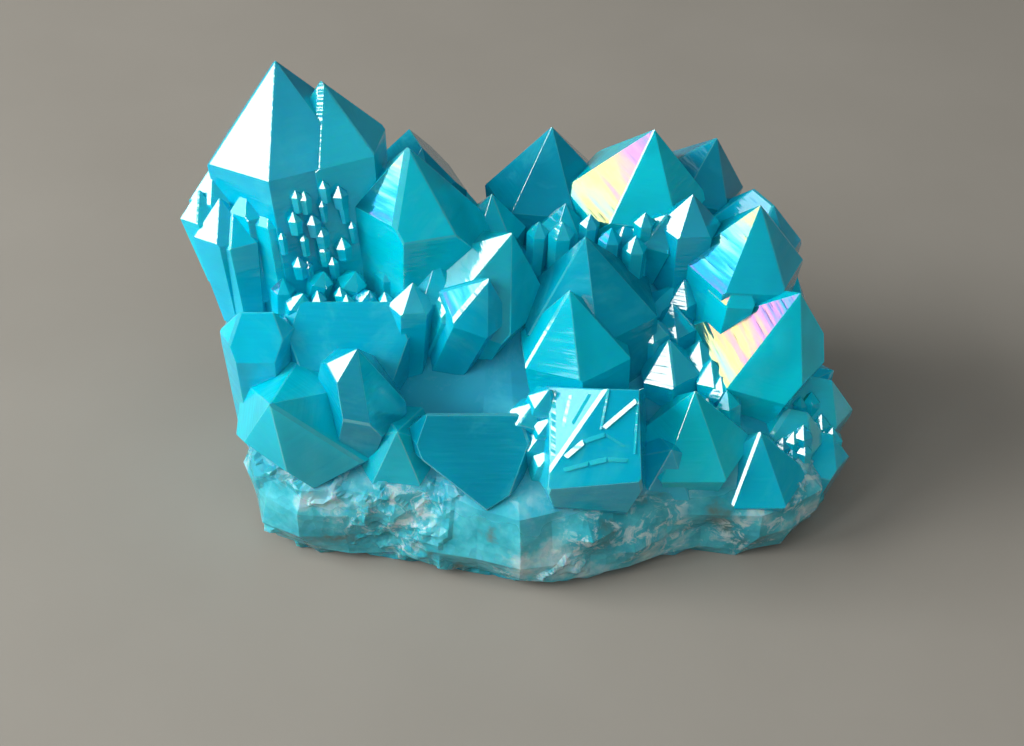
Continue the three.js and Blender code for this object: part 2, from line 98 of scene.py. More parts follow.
# family, tip, radius from centre to side face, length from tip to buried end, and what is special:
# setback of the termination faces, sides as shares of the usual reach, root share, cuts as (through,
# facing), edge as {pair of faces: width}, tone and shade from dark to light, film in nanometres.
# A tone and shade given here paints light and shade on its point: low where the point lies in shade, high
# where it should look lit. Without one the tone is random.
POINTS = [
    ("tall", (-34, 15, 66), 11, 54, {"film": 70}),
    ("tall", (-27.5, 14, 63.2), 7.4, 44, {"film": 68, "edge": {(3, 4): 0.9}}),
    ("tall", (-43.6, 10, 51.6), 4, 20, {"root": 0.35, "film": 64}),
    ("tall", (-45.6, 7, 49), 3.2, 15, {"root": 0.3, "film": 68}),
    ("tall", (-42.4, 5, 49), 4.2, 20, {"root": 0.5, "film": 64}),
    ("tall", (-40.4, 3.6, 47.6), 3.6, 20, {"root": 0.6}),
    ("tall", (-38.3, 5.5, 50.8), 3, 18, {}),
    ("tall", (-35, 5.2, 51), 3.8, 22, {}),
    ("ridge", (-15, 8, 55.8), 9.5, 42, {
        "sides": (1.1, 1.05, 0.9, 0.72, 0.96, 1.35), "film": 205, "edge": {(3, 4): 1},
    }),
    ("back_middle", (-14.7, 24, 46.6), 6.5, 34, {"setback": (0, 2, 2, 0, 2, 2), "tint": 0.05, "film": 0}),
    ("back_middle", (6, 22, 50), 9, 38, {"tint": 0.1, "film": 0, "edge": {(3, 4): 0.08}}),
    ("back_right", (21, 16, 53.5), 9.5, 40, {"film": 278, "tint": 1}),
    ("far_right", (31, 22, 48), 6.5, 36, {"tint": 0.1}),
    ("upright", (26.5, 8, 47.5), 4, 28, {"film": 66}),
    ("low_right", (22.8, 7, 44.6), 3.6, 26, {"film": 64}),
    ("upright", (17, 9, 43), 4, 24, {}),
    ("upright", (8, 12, 43), 4.5, 24, {}),
    ("upright", (-3, 13, 44), 4.5, 24, {}),
    ("shoulder", (36.3, 6, 47), 8, 38, {"film": 215, "tint": 0.7}),
    ("shoulder", (37.6, 13, 43.6), 6.6, 34, {"setback": (0, 1.5, 1.5, 0, 1.5, 1.5)}),
    ("shoulder", (33.7, 0.5, 40.2), 3.8, 24, {"film": 255}),
    ("low_right", (41.8, -4, 38.5), 7.8, 34, {
        "sides": (0.8, 0.9, 1.36, 1.42, 1.4, 1), "film": 285, "tint": 1,
    }),
    ("centre", (23.8, 0.6, 33), 3.4, 20, {"film": 64}),
    ("centre", (27.6, -4, 29.8), 3.4, 18, {"film": 64}),
    ("centre", (23, -5.4, 31), 4.4, 18, {"film": 66}),
    ("centre", (29.2, -7, 28.6), 2.6, 16, {"film": 64}),
    ("centre", (30.6, -9, 27), 2.2, 14, {"film": 68}),
    ("centre", (31.4, -11, 26), 1.8, 14, {"film": 300}),
    ("centre", (25.6, 3.6, 35.2), 2.6, 16, {"film": 64}),
    ("centre", (20.4, -2.4, 33), 2.4, 18, {"film": 68}),
    ("centre", (10.6, 1, 45), 9.6, 36, {"film": 0, "tint": 0.12, "edge": {(3, 4): 0.4}}),
    ("centre", (8.2, -6, 40.6), 8, 30, {"film": 0, "tint": 0.75, "edge": {(3, 4): 0.6}}),
    ("centre_left", (0, 1.1, 45.6), 9.4, 36, {"film": 64}),
    ("centre_left", (-3.4, -4.2, 41.4), 5, 26, {"film": 190, "edge": {(3, 4): 0.7, (2, 3): 0.6}}),
    ("upright", (-14.4, -3, 39.6), 2.9, 22, {"film": 64}),
    ("upright", (-11, 1, 41), 4, 24, {}),
    ("low_right", (-30.4, -3, 37.6), 1.8, 12, {"film": 64}),
    ("low_right", (-27.4, -0.6, 39.8), 1.6, 14, {"film": 64}),
    ("low_right", (-22.8, 0, 39.4), 2, 18, {"film": 66}),
    ("low_right", (-20.8, -2, 37.4), 2.1, 12, {"film": 64}),
    ("upright", (-18, 2, 39.8), 1.8, 12, {"film": 64}),
    ("upright", (-33.4, -1, 39), 1.6, 12, {"film": 300}),
    ("upright", (4, 7.4, 43), 1.5, 12, {"film": 64}),
    ("upright", (7.4, 5.8, 44.2), 1.7, 12, {"film": 68}),
    ("upright", (11.6, 7.6, 44.2), 1.4, 12, {"film": 64}),
    ("upright", (14.6, 5, 43.6), 1.6, 12, {"film": 300}),
    ("upright", (18.2, 4.4, 42.6), 1.7, 12, {"film": 64}),
    ("upright", (19.6, 6.6, 45.2), 1.4, 12, {"film": 64}),
    ("facing", (-24, -3.5, 36.5), 9, 28, {"setback": (4.6, 0, 4.6, 4.6, 0, 4.6), "tint": 0.4}),
    ("facing", (-37, -6, 36.6), 4.8, 26, {
        "setback": (1.6, 0, 1.6, 1.6, 0, 1.6), "edge": {(3, 4): 0.6, (4, 10): 0.6},
    }),
    ("front_left", (-22, -13.6, 36), 7.6, 30, {
        "sides": (1, 1, 0.6, 0.42, 0.9, 1.2), "film": 70, "tint": 0.3,
    }),
    ("outward_left", (-34.4, -19.2, 30.4), 10.6, 26, {"sides": (1.4, 1, 1, 0.7, 0.9, 1.75), "tint": 0.85}),
    ("facing", (-5.6, -17, 26.8), 8.6, 26, {
        "setback": (4.4, 0, 4.4, 4.4, 0, 4.4), "tint": 0.1,
        "cuts": [((-10, -22, 19), (-0.62, -0.5, -0.6)), ((0.4, -24, 17.6), (0.55, -0.5, -0.67))],
    }),
    ("forward", (-16.5, -19, 25), 6.4, 22, {}),
    ("low_right", (5.4, -16.6, 31), 2.2, 14, {"film": 64}),
    ("low_right", (3.4, -16.6, 28.6), 2.6, 14, {"film": 66}),
    ("low_right", (5.6, -18.4, 27), 1.8, 12, {"film": 64}),
    ("low_right", (4.6, -18.6, 24.8), 2.2, 12, {"film": 68}),
    ("low_right", (5.8, -20.6, 22.8), 1.8, 12, {"film": 64}),
    ("facing", (26.4, -14, 28.4), 8, 22, {"root": 0.5, "tint": 1, "edge": {(3, 4): 0.1}}),
    ("forward", (23, -20, 22.4), 6, 16, {"root": 0.4, "tint": 0.5}),
    ("facing", (36.2, -15, 21.4), 7, 18, {"root": 0.35, "tint": 0.6, "edge": {(3, 4): 0.5}}),
    ("lumps", (45.8, -4.4, 22.8), 6.4, 22, {
        "setback": (1.4, 0, 1.4, 1.4, 0, 1.4), "film": 64, "tint": 1, "edge": {(3, 4): 0.8, (2, 3): 0.7},
    }),
    ("lumps", (42.4, -9.6, 20.8), 5.2, 20, {
        "setback": (1, 0, 1, 1, 0, 1), "film": 64, "tint": 0.9, "edge": {(3, 4): 0.8, (2, 3): 0.6},
    }),
    ("lumps", (46.8, -9.6, 16.4), 4.6, 18, {
        "setback": (0.8, 0, 0.8, 0.8, 0, 0.8), "film": 300, "edge": {(3, 4): 0.7},
    }),
    ("crumbs", (44.7, -8, 17.8), 1.3, 7, {"film": 66}),
    ("crumbs", (46.3, -7.6, 18.4), 1.4, 7, {"film": 64}),
    ("crumbs", (46.7, -9, 16.2), 1.2, 7, {"film": 68}),
    ("crumbs", (48, -8.6, 16.6), 1.5, 7, {"film": 64}),
    ("crumbs", (43.1, -6.5, 20.8), 1, 7, {"film": 66}),
    ("crumbs", (44.7, -6, 21.4), 1.3, 7, {"film": 240}),
    ("crumbs", (40.1, -12.2, 17.8), 1.2, 7, {"film": 64}),
    ("crumbs", (41.7, -11.7, 18.6), 1.1, 7, {"film": 66}),
    ("crumbs", (43.1, -11.2, 19.4), 1.4, 7, {"film": 64}),
    ("crumbs", (41.6, -12.9, 16.3), 1, 7, {"film": 240}),
    ("crumbs", (43.4, -12.3, 17), 1.2, 7, {"film": 64}),
    ("steps", (-28.4, -2, 37.4), 1.1, 5, {"film": 64}),
    ("steps", (-25.2, -1.4, 37.6), 0.9, 5, {"film": 66}),
    ("steps", (-24.2, -2.2, 36.9), 1.2, 5, {"film": 64}),
    ("steps", (-18.6, -2.2, 37.3), 1, 5, {"film": 64}),
    ("sprawling_right", (49.4, 3, 18), 6, 20, {}),
    ("back_left", (-40, 24, 38), 7, 30, {}),
    ("backward", (-27, 31, 42), 7.5, 32, {}),
    ("back_left", (-42, 17, 26), 6, 22, {}),
    ("backward", (-10, 32, 35), 7, 28, {}),
    ("backward", (6, 33, 38), 7.5, 30, {}),
    ("back_corner", (22, 31, 36), 7, 28, {}),
    ("back_corner", (36, 26, 33), 7, 28, {}),
    ("back_corner", (44, 14, 28), 6, 24, {}),
    ("low_back", (-20, 33.5, 24), 6, 20, {}),
    ("low_back", (-2, 35.5, 22), 6.5, 20, {}),
    ("low_back", (15, 35, 23), 6, 20, {}),
    ("low_back", (30, 32, 19), 5.5, 18, {}),
    ("forward", (12, -34, 46), 11, 42, {
        "cuts": [
            ((12, -22.6, 28), (-0.03, -0.86, 0.51)),
            ((10.3, -21.7, 29.6), (-0.57, -0.46, 0.7)),
            ((12, -19.2, 33.2), (0.02, 0.62, 0.78)),
            ((5.8, -20, 30), (-1, -0.1, 0.15)),
            ((18.2, -20, 30), (1, -0.1, 0.1)),
            ((12, -26.4, 21), (0.05, -0.95, -0.3)),
        ],
    }),
]

# Steps: little points that stand a little out of the tall point's front side, spread evenly by the
# golden angle round a middle below the tall tip.
STEP_SIDE = 4
STEP_COUNT = 18
STEP_DOWN = 21.5  # from the tall tip down to their middle
STEP_REACH = (5.6, 9)  # how far they spread across the side and along it
STEP_JITTER = 1.4
STEP_PROUD = 0.45
STEP_RADIUS = (0.6, 1.2)  # the least and the greatest
STEP_LENGTH = 3.6
STEP_FILM = 64

# Druse: little points between the large ones, fanning outward from the middle.
DRUSE_COUNT = 70
DRUSE_REACH = (44, 27)
DRUSE_TOP = 34
DRUSE_EDGE = 21
DRUSE_RADIUS = 2.6
DRUSE_LENGTH = 14
GOLDEN_ANGLE = pi * (3 - sqrt(5))
HOLLOW = (4, -14, 34, 13)  # an ellipse with no druse: its middle and its half sizes along X and Y

# The broken foot: its outline at the floor, and its rings as (height, share, out, rough, back).
FOOT_OUTLINE = np.array([
    (-36, -17), (-30, -19.5), (-24, -20), (-18, -20.5), (-12, -22), (-5, -23.5), (1, -25.5),
    (6, -26.5), (11, -25), (17, -22.5), (23, -21), (29, -19.5), (35, -20), (40, -18), (44, -14.5),
    (47, -9.5), (47.6, -3), (46, 4), (44, 10), (41, 16), (37, 21), (31, 25), (24, 27), (16, 29),
    (8, 30), (0, 30), (-8, 29.5), (-16, 28), (-24, 27), (-31, 23), (-36, 17), (-39, 10), (-40, 3),
    (-39.5, -4), (-38.5, -11),
])
FOOT_MIDDLE = np.array((-2, 9))
FOOT_RINGS = [
    (0, 1, -1.4, 0.8, 0), (1.8, 1, 0.8, 1, 0), (6, 1, 1.6, 2, 0), (10.5, 1, 2, 2, 0), (14.5, 1, 0.4, 2, 0),
    (18, 0.91, 0, 1.8, 2), (21.5, 0.78, 0, 1.6, 4), (25, 0.64, 0, 1.2, 5), (34, 0.42, 0, 0.8, 6),
]

# ---- Helpers ------------------------------------------------------------------------------------


def scatter(seed):
    """A repeatable number from 0 to 1 for each whole-number seed: the fraction of a large sine."""
    wave = np.sin(np.asarray(seed) * 12.9898 + 4.1414) * 43758.5453
    return wave - np.floor(wave)


def rotation_of(attitude):
    """Leans +Z over, then turns about the leaned axis: a turn about a level hinge times a turn about Z."""
    lean, toward, turn = (radians(angle) for angle in attitude)
    x, y = -sin(toward), cos(toward)
    c, s = cos(lean), sin(lean)
    leaned = np.array([
        [c + x * x * (1 - c), x * y * (1 - c), y * s],
        [x * y * (1 - c), c + y * y * (1 - c), -x * s],
        [-y * s, x * s, c],
    ])
    turned = np.array([[cos(turn), -sin(turn), 0], [sin(turn), cos(turn), 0], [0, 0, 1]])
    return leaned @ turned


def corners_of(normals, offsets):
    """Corners of the solid inside all planes: every point where three planes meet, kept where it lies
    beyond none. Returns the corners and, for each corner and plane, whether it lies on that plane."""
    triples = np.array(list(combinations(range(len(normals)), 3)))
    rows = normals[triples]
    firm = np.abs(np.linalg.det(rows)) > 1e-4
    rows, sums = rows[firm], offsets[triples[firm]]
    corners = np.linalg.solve(rows, sums[..., None])[..., 0]
    inside = (corners @ normals.T <= offsets + 1e-4).all(axis=1)
    corners = corners[inside]
    first = np.unique(np.round(corners, 3), axis=0, return_index=True)[1]
    corners = corners[first]
    return corners, np.abs(corners @ normals.T - offsets) < 2e-3


def hull_of(corners, normals, offsets):
    """The closed skin round the corners, and for each of its faces the plane that it lies on: the one
    with the least distance from the face's middle plus the least turn from its normal."""
    shell = bmesh.new()
    for corner in corners:
        shell.verts.new(corner)
    made = bmesh.ops.convex_hull(shell, input=shell.verts)
    spare = {v for v in [*made["geom_interior"], *made["geom_unused"]] if isinstance(v, bmesh.types.BMVert)}
    bmesh.ops.delete(shell, geom=list(spare), context="VERTS")
    shell.verts.index_update()
    shell.normal_update()
    kept = np.array([v.co for v in shell.verts])
    faces = [[v.index for v in face.verts] for face in shell.faces]
    facing = np.array([face.normal for face in shell.faces])
    middle = np.array([face.calc_center_median() for face in shell.faces])
    shell.free()
    miss = np.abs(middle @ normals.T - offsets) + 2 * (1 - facing @ normals.T)
    return kept, faces, miss.argmin(axis=1)


def chamfer_planes(on, normals, offsets, count, width_of):
    """A plane across every edge between two of the first count planes. Its normal is midway, and it
    lies below the edge by half its width times the tangent of half the angle between the two."""
    shared = on[:, :count].T.astype(int) @ on[:, :count].astype(int)
    made_normals, made_offsets = [], []
    for a, b in combinations(range(count), 2):
        if shared[a, b] < 2:
            continue
        half = np.arccos(np.clip(normals[a] @ normals[b], -1, 1)) / 2
        depth = width_of(a, b) * np.tan(half) / 2
        made_normals.append((normals[a] + normals[b]) / (2 * np.cos(half)))
        made_offsets.append((offsets[a] + offsets[b]) / (2 * np.cos(half)) - depth)
    return made_normals, made_offsets


def mesh_object(name, corners, faces, attributes, collection):
    """A mesh in metres from corners in millimetres, with one value or vector per face for each attribute."""
    mesh = bpy.data.meshes.new(name)
    mesh.from_pydata((corners * MM).tolist(), [], faces)
    for key, values in attributes.items():
        values = np.asarray(values, dtype=np.float32)
        kind, field = ("FLOAT_VECTOR", "vector") if values.ndim == 2 else ("FLOAT", "value")
        mesh.attributes.new(key, kind, "FACE").data.foreach_set(field, values.ravel())
    thing = bpy.data.objects.new(name, mesh)
    collection.objects.link(thing)
    return thing


# ---- Quartz points ------------------------------------------------------------------------------

TERMINATION, PRISM, EDGE, BROKEN = 0.0, 1.0, 2.0, 3.0
EDGE_FILM = 64  # nanometres of metal film on the sharp edges
THIN_FILM = 20  # nanometres on the usual faces
COLOUR_FILM = 100  # a film thicker than this shows colours, and lies on one end face alone
SHINING_FACE = 3
CHAMFERED_RADIUS = 2  # points thinner than this keep plain edges


def quartz_point(index, attitude, tip, radius, length, special, collection):
    """One point as the solid inside its planes: six termination faces through the tip, six sides at
    unequal reach, six sides that taper to the buried end, the end itself, any breaks, and a narrow
    plane across each sharp edge."""
    rotation = rotation_of(attitude)
    tip = np.array(tip, dtype=float)
    reach = usual_reach(index, radius) * np.array(special.get("sides", (1,) * SIDES))
    setback = np.array(special.get("setback", (0,) * SIDES), dtype=float)
    root = special.get("root", ROOT_SHARE)
    angle = np.arange(SIDES) * SIDE_ANGLE
    flat = np.zeros(SIDES)
    out = np.stack([np.cos(angle), np.sin(angle), flat], axis=1)
    rise = np.array([0, 0, 1.0])
    ends = cos(FACE_FROM_AXIS) * out + sin(FACE_FROM_AXIS) * rise
    shoulder = SHOULDER_SHARE * radius
    slope = ((1 - root) * reach / (length - shoulder))[:, None]
    tapered = out - slope * rise
    size = np.linalg.norm(tapered, axis=1)
    sharp = 2 * SIDES
    kinds = [TERMINATION] * SIDES + [PRISM] * SIDES
    normals = np.concatenate([ends, out]) @ rotation.T
    offsets = np.concatenate([setback, reach]) + normals @ tip
    for through, facing in special.get("cuts", ()):
        facing = np.array(facing, dtype=float)
        facing /= np.linalg.norm(facing)
        normals = np.vstack([normals, facing])
        offsets = np.append(offsets, facing @ np.array(through, dtype=float))
        kinds.append(TERMINATION)
        sharp += 1
    low = np.vstack([tapered / size[:, None], -rise]) @ rotation.T
    low_offsets = np.append((reach + slope[:, 0] * shoulder) / size, length) + low @ tip
    normals = np.vstack([normals, low])
    offsets = np.concatenate([offsets, low_offsets])
    kinds += [PRISM] * (SIDES + 1)
    if radius > CHAMFERED_RADIUS:
        widths = special.get("edge", {})
        usual = 0.1 + 0.02 * radius

        def width_of(a, b):
            return widths.get((a, b), usual * (0.25 + 1.9 * float(scatter(index * 31 + a * 5 + b)) ** 4))

        _, on = corners_of(normals, offsets)
        more, more_offsets = chamfer_planes(on, normals, offsets, sharp, width_of)
        normals = np.vstack([normals, more])
        offsets = np.concatenate([offsets, more_offsets])
        kinds += [EDGE] * len(more)
    corners, _ = corners_of(normals, offsets - normals @ tip)
    corners, faces, planes = hull_of(corners, normals, offsets - normals @ tip)
    corners = corners + tip
    count = len(faces)
    kinds = np.array(kinds)[planes]
    film = special.get("film", THIN_FILM)
    if film > COLOUR_FILM:
        film = np.where(planes == SHINING_FACE, film, THIN_FILM)
    # The tone is random unless given; a given one paints light and shade on the whole point.
    tint = special.get("tint", 0.45 + 0.45 * float(scatter(index * 17 + 3)))
    mesh_object(f"point_{index:03d}", corners, faces, {
        "tip": np.tile(tip * MM, (count, 1)),
        "axis": np.tile(rotation @ rise, (count, 1)),
        "kind": kinds,
        "tint": np.full(count, tint),
        "film": np.where(kinds == EDGE, EDGE_FILM, film),
    }, collection)


def usual_reach(index, radius):
    """How far each side of a point lies from its axis: its radius, give or take 8 per cent at random."""
    return radius * (0.92 + 0.16 * scatter(index * 7 + np.arange(SIDES)))


def step_tips():
    """The steps' tips: places on a side of the first point, at across and along by the golden angle."""
    family, tall_tip, tall_radius, *_ = POINTS[0]
    rotation = rotation_of(ATTITUDES[family])
    angle = STEP_SIDE * SIDE_ANGLE
    out = rotation @ (cos(angle), sin(angle), 0)
    along = rotation @ (0, 0, 1)
    across = np.cross(along, out)
    side = usual_reach(1, tall_radius)[STEP_SIDE]
    middle = np.array(tall_tip) + (side + STEP_PROUD) * out - STEP_DOWN * along
    tips = []
    for index in range(STEP_COUNT):
        share = sqrt((index + 0.5) / STEP_COUNT)
        around = index * GOLDEN_ANGLE
        aside = STEP_REACH[0] * share * cos(around) + STEP_JITTER * (scatter(index + 300) - 0.5)
        rise = STEP_REACH[1] * share * sin(around) + STEP_JITTER * (scatter(index + 350) - 0.5)
        tips.append(middle + aside * across + rise * along)
    return tips


def all_points():
    """Every point as (attitude, tip, radius, length, special): the table, then the steps, then the druse."""
    rows = [(ATTITUDES[family], *rest) for family, *rest in POINTS]
    least, greatest = STEP_RADIUS
    for index, tip in enumerate(step_tips()):
        radius = least + (greatest - least) * float(scatter(index + 400)) ** 2
        rows.append((ATTITUDES["steps"], tip, radius, STEP_LENGTH, {"film": STEP_FILM}))
    for index in range(DRUSE_COUNT):
        share = sqrt((index + 0.5) / DRUSE_COUNT)
        around = index * GOLDEN_ANGLE
        toward = degrees(around) + 20 * (scatter(index + 500) - 0.5)
        height = DRUSE_TOP + (DRUSE_EDGE - DRUSE_TOP) * share ** 3 + 5 * (scatter(index + 700) - 0.5)
        tip = (DRUSE_REACH[0] * share * cos(around), DRUSE_REACH[1] * share * sin(around) + 2, height)
        if ((tip[0] - HOLLOW[0]) / HOLLOW[2]) ** 2 + ((tip[1] - HOLLOW[1]) / HOLLOW[3]) ** 2 < 1:
            continue
        attitude = (6 + 34 * share ** 2, toward, 60 * scatter(index + 600))
        radius = DRUSE_RADIUS * (0.75 + 0.7 * scatter(index + 800))
        rows.append((attitude, tip, float(radius), DRUSE_LENGTH, {}))
    return rows


# Growth ridges: thin steps on a face, as (start, end, width) measured across and up that face.
BLOCK_RIDGES = [
    ((1.4, 6.2), (0.5, 0.3), 0.4), ((5.4, 4.4), (0.9, 0.6), 0.7), ((5.6, 4.6), (5.4, -3.4), 0.4),
    ((-4.4, -3.4), (-1.8, -1.2), 0.8), ((-1.8, -1.2), (1.2, -0.3), 0.7), ((1.2, -0.3), (4.1, -2.2), 0.5),
    ((-4.6, -5.2), (-1, -4.4), 0.7), ((-1, -4.4), (1.6, -3.9), 0.8), ((1.6, -3.9), (4.6, -4.2), 0.7),
]
CORNER_RIDGES = [
    ((-7.3, 0.6), (-1, -7), 0.7), ((-4.4, 1.6), (-2.4, -2.8), 0.5), ((-1.6, 3.4), (-1.3, -1.6), 0.5),
]
RIDGE_SLOPE = radians(22)
RIDGE_SUNK = 0.6
# A light tone on the ridges, partly painted light.
RIDGE_TONE_AND_SHADE = 0.9
RIDGE_FILM = 64.0

# Ridged faces: a point on the face, its across and up directions, the direction on the face that the
# ridges' slopes lean to, and the lines.
RIDGED_FACES = [
    ((12, -22.6, 28), (1, 0, 0.06), (0.03, 0.51, 0.86), (-0.83, 0.56), BLOCK_RIDGES),
    ((10.3, -21.7, 29.6), (0.63, -0.78, 0), (0.54, 0.43, 0.72), (0.99, 0.11), CORNER_RIDGES),
]


def growth_ridge(name, face, line, collection):
    """A low wedge along a line on a face. Its one slope leans toward the side that shines."""
    middle, across, up, shining = (np.array(v, dtype=float) for v in face[:-1])
    start, end = (np.array(point, dtype=float) for point in line[:2])
    width = line[2]
    run = (end - start) / np.linalg.norm(end - start)
    down = np.array((-run[1], run[0]))
    down = down * np.sign(down @ shining)
    rise = width * np.tan(RIDGE_SLOPE) * max(0.3, float(down @ shining))
    out = np.cross(across, up)
    out /= np.linalg.norm(out)
    half = down * width / 2
    crest = 0.3 * width * run

    def place(point, height):
        return point[0] * across + point[1] * up + height * out

    corners = np.array([
        *(place(point + side, -RIDGE_SUNK) for point in (start, end) for side in (-half, half)),
        *(place(point + half, -0.02) for point in (start, end)),
        *(place(point - 0.9 * half, rise) for point in (start + crest, end - crest)),
    ])
    corners, faces, _ = hull_of(corners, out[None], np.zeros(1))
    count = len(faces)
    mesh_object(name, corners + middle, faces, {
        "tip": np.tile(middle * MM, (count, 1)),
        "axis": np.tile(up, (count, 1)),
        "kind": np.full(count, TERMINATION),
        "tint": np.full(count, RIDGE_TONE_AND_SHADE),
        "film": np.full(count, RIDGE_FILM),
    }, collection)


# ---- The broken foot ----------------------------------------------------------------------------

FOOT_COLUMNS = 12  # grid columns for each side of the outline
FOOT_ROWS = 9  # grid rows from one ring to the next
DEEPEST_CHIP = 0.9
SCOOPS = 1300  # shell-shaped chips in the broken surface
BROAD_EVERY = 20  # one chip in so many is a broad one
FACING_ROW = 2  # the ring whose outward directions the chips face
CHIPPED_RINGS = 5  # the chips start below this ring
# A dark tone on the foot's film-coated top, down between the points: partly painted shade.
FOOT_TONE_AND_SHADE = 0.22


def foot_surface():
    """Grid points of the unchipped foot and their level outward directions. The rings' corners lie at
    share times the outline plus out plus a random chip, shifted back, and straight lines join them."""
    sides, rings = len(FOOT_OUTLINE), len(FOOT_RINGS)
    arm = FOOT_OUTLINE - FOOT_MIDDLE
    span = np.linalg.norm(arm, axis=1)
    seeds = np.arange(rings * sides).reshape(rings, sides)
    table = np.array(FOOT_RINGS, dtype=float)
    chip = table[:, 3:4] * (2 * scatter(seeds) - 1)
    share = table[:, 1:2] + (table[:, 2:3] + chip) / span
    plan = FOOT_MIDDLE + share[..., None] * arm + table[:, 4:5, None] * np.array((0, 1))
    heights = np.broadcast_to(table[:, 0, None, None], (rings, sides, 1))
    coarse = np.concatenate([plan, heights], axis=2)
    u = np.arange(sides * FOOT_COLUMNS) / FOOT_COLUMNS
    v = np.linspace(0, rings - 1, (rings - 1) * FOOT_ROWS + 1)
    left, low = u.astype(int), np.minimum(v.astype(int), rings - 2)
    right = (left + 1) % sides
    across, up = (u - left)[None, :, None], (v - low)[:, None, None]
    lower = coarse[low][:, left] * (1 - across) + coarse[low][:, right] * across
    upper = coarse[low + 1][:, left] * (1 - across) + coarse[low + 1][:, right] * across
    grid = lower * (1 - up) + upper * up
    out = grid[..., :2] - FOOT_MIDDLE
    out /= np.linalg.norm(out, axis=2, keepdims=True)
    return grid, np.concatenate([out, np.zeros(grid.shape[:2] + (1,))], axis=2)


def chipped(grid, out):
    """The grid with its shell-shaped chips. Each chip is a sphere that dips a little into the surface.
    With the arm from its middle to a grid point inside it, the point moves along its level outward
    direction by -(along) - sqrt(along^2 + radius^2 - arm^2), where along is the arm's share in that
    direction: in to the sphere's far side, but never by more than the deepest chip."""
    number = np.arange(SCOOPS)
    row = (scatter(number + 900) * CHIPPED_RINGS * FOOT_ROWS).astype(int)
    column = (scatter(number + 1100) * grid.shape[1]).astype(int)
    broad = number % BROAD_EVERY == 0
    size = np.where(broad, 7 + 9 * scatter(number + 1300), 0.8 + 1.8 * scatter(number + 1300))
    depth = np.where(broad, 0.2 + 0.5 * scatter(number + 1500), 0.25 + 0.5 * scatter(number + 1500))
    tilt = np.stack([0 * size, 0 * size, 0.8 * (scatter(number + 1700) - 0.4)], axis=1)
    facing = out[FACING_ROW * FOOT_ROWS, column] + tilt
    facing /= np.linalg.norm(facing, axis=1, keepdims=True)
    middle = grid[row, column] + facing * (size - depth)[:, None]
    arms = grid[:, :, None] - middle
    along = np.einsum("rck,rcsk->rcs", out, arms)
    inside = np.maximum(along ** 2 - (arms ** 2).sum(axis=3) + size ** 2, 0)
    within = (arms ** 2).sum(axis=3) < size ** 2
    move = np.where(within, -along - np.sqrt(inside), 0).min(axis=2)
    return grid + out * np.maximum(move, -DEEPEST_CHIP)[..., None]


def grid_faces(rows, columns):
    """Two triangles for each cell of a grid that closes on itself sideways, cut along either diagonal
    in turn, and one face each for the bottom and the top."""
    a = (np.arange(rows - 1)[:, None] * columns + np.arange(columns)).ravel()
    b = (np.arange(rows - 1)[:, None] * columns + (np.arange(columns) + 1) % columns).ravel()
    c, d = a + columns, b + columns
    flip = ((a // columns + a % columns) % 2).astype(bool)[:, None]
    one = np.where(flip, np.stack([a, b, d], 1), np.stack([a, b, c], 1))
    two = np.where(flip, np.stack([a, d, c], 1), np.stack([b, d, c], 1))
    faces = np.concatenate([one, two]).tolist()
    faces.append(list(range(columns))[::-1])
    faces.append(list(range((rows - 1) * columns, rows * columns)))
    return faces


def broken_foot(collection):
    """The chipped foot as one closed skin, flat at the bottom and at the buried top."""
    grid = chipped(*foot_surface())
    faces = grid_faces(*grid.shape[:2])
    count = len(faces)
    return mesh_object("foot", grid.reshape(-1, 3), faces, {
        "tip": np.zeros((count, 3)),
        "axis": np.tile((0, 0, 1.0), (count, 1)),
        "kind": np.full(count, BROKEN),
        "tint": np.full(count, FOOT_TONE_AND_SHADE),
        "film": np.full(count, 0.0),
    }, collection)


# ---- Materials ----------------------------------------------------------------------------------


class Nodes:
    """Adds nodes to a tree by type, with their plain values and links in one call."""

    def __init__(self, tree):
        self.tree = tree

    def add(self, kind, settings=None, **sockets):
        node = self.tree.nodes.new(kind)
        for key, value in (settings or {}).items():
            setattr(node, key, value)
        for key, value in sockets.items():
            socket = node.inputs[int(key[1:])] if key[0] == "_" else node.inputs[key.replace("_", " ")]
            if isinstance(value, bpy.types.NodeSocket):
                self.tree.links.new(value, socket)
            else:
                socket.default_value = value
        return node

    def math(self, operation, *values):
        sockets = {f"_{i}": value for i, value in enumerate(values)}
        return self.add("ShaderNodeMath", {"operation": operation}, **sockets).outputs[0]

    def vector(self, operation, *values, output=0):
        sockets = {f"_{i}": value for i, value in enumerate(values)}
        return self.add("ShaderNodeVectorMath", {"operation": operation}, **sockets).outputs[output]

    def mix(self, share, low, high):
        node = self.add("ShaderNodeMix", {"data_type": "RGBA"}, _0=share, _6=low, _7=high)
        return node.outputs[2]

    def scaled(self, vector, scale):
        return self.add("ShaderNodeVectorMath", {"operation": "SCALE"}, _0=vector, Scale=scale).outputs[0]

    def attribute(self, name, output="Fac"):
        return self.add("ShaderNodeAttribute", {"attribute_name": name}).outputs[output]

    def ramp(self, factor, stops):
        node = self.add("ShaderNodeValToRGB", Fac=factor)
        while len(node.color_ramp.elements) < len(stops):
            node.color_ramp.elements.new(0.5)
        for element, (place, colour) in zip(node.color_ramp.elements, stops):
            element.position, element.color = place, colour
        return node.outputs[0]

    def noise(self, place, scale, detail=2.0, roughness=0.5, distortion=0.0):
        return self.add(
            "ShaderNodeTexNoise", Vector=place, Scale=scale, Detail=detail, Roughness=roughness,
            Distortion=distortion,
        ).outputs["Fac"]


def srgb(red, green, blue):
    """A display colour from 0 to 255 as the linear colour that a socket takes."""
    values = np.array((red, green, blue)) / 255
    linear = np.where(values <= 0.04045, values / 12.92, ((values + 0.055) / 1.055) ** 2.4)
    return (*linear.tolist(), 1.0)


def grey(level):
    """A plain grey as the colour that a ramp's stop takes."""
    return (level, level, level, 1)


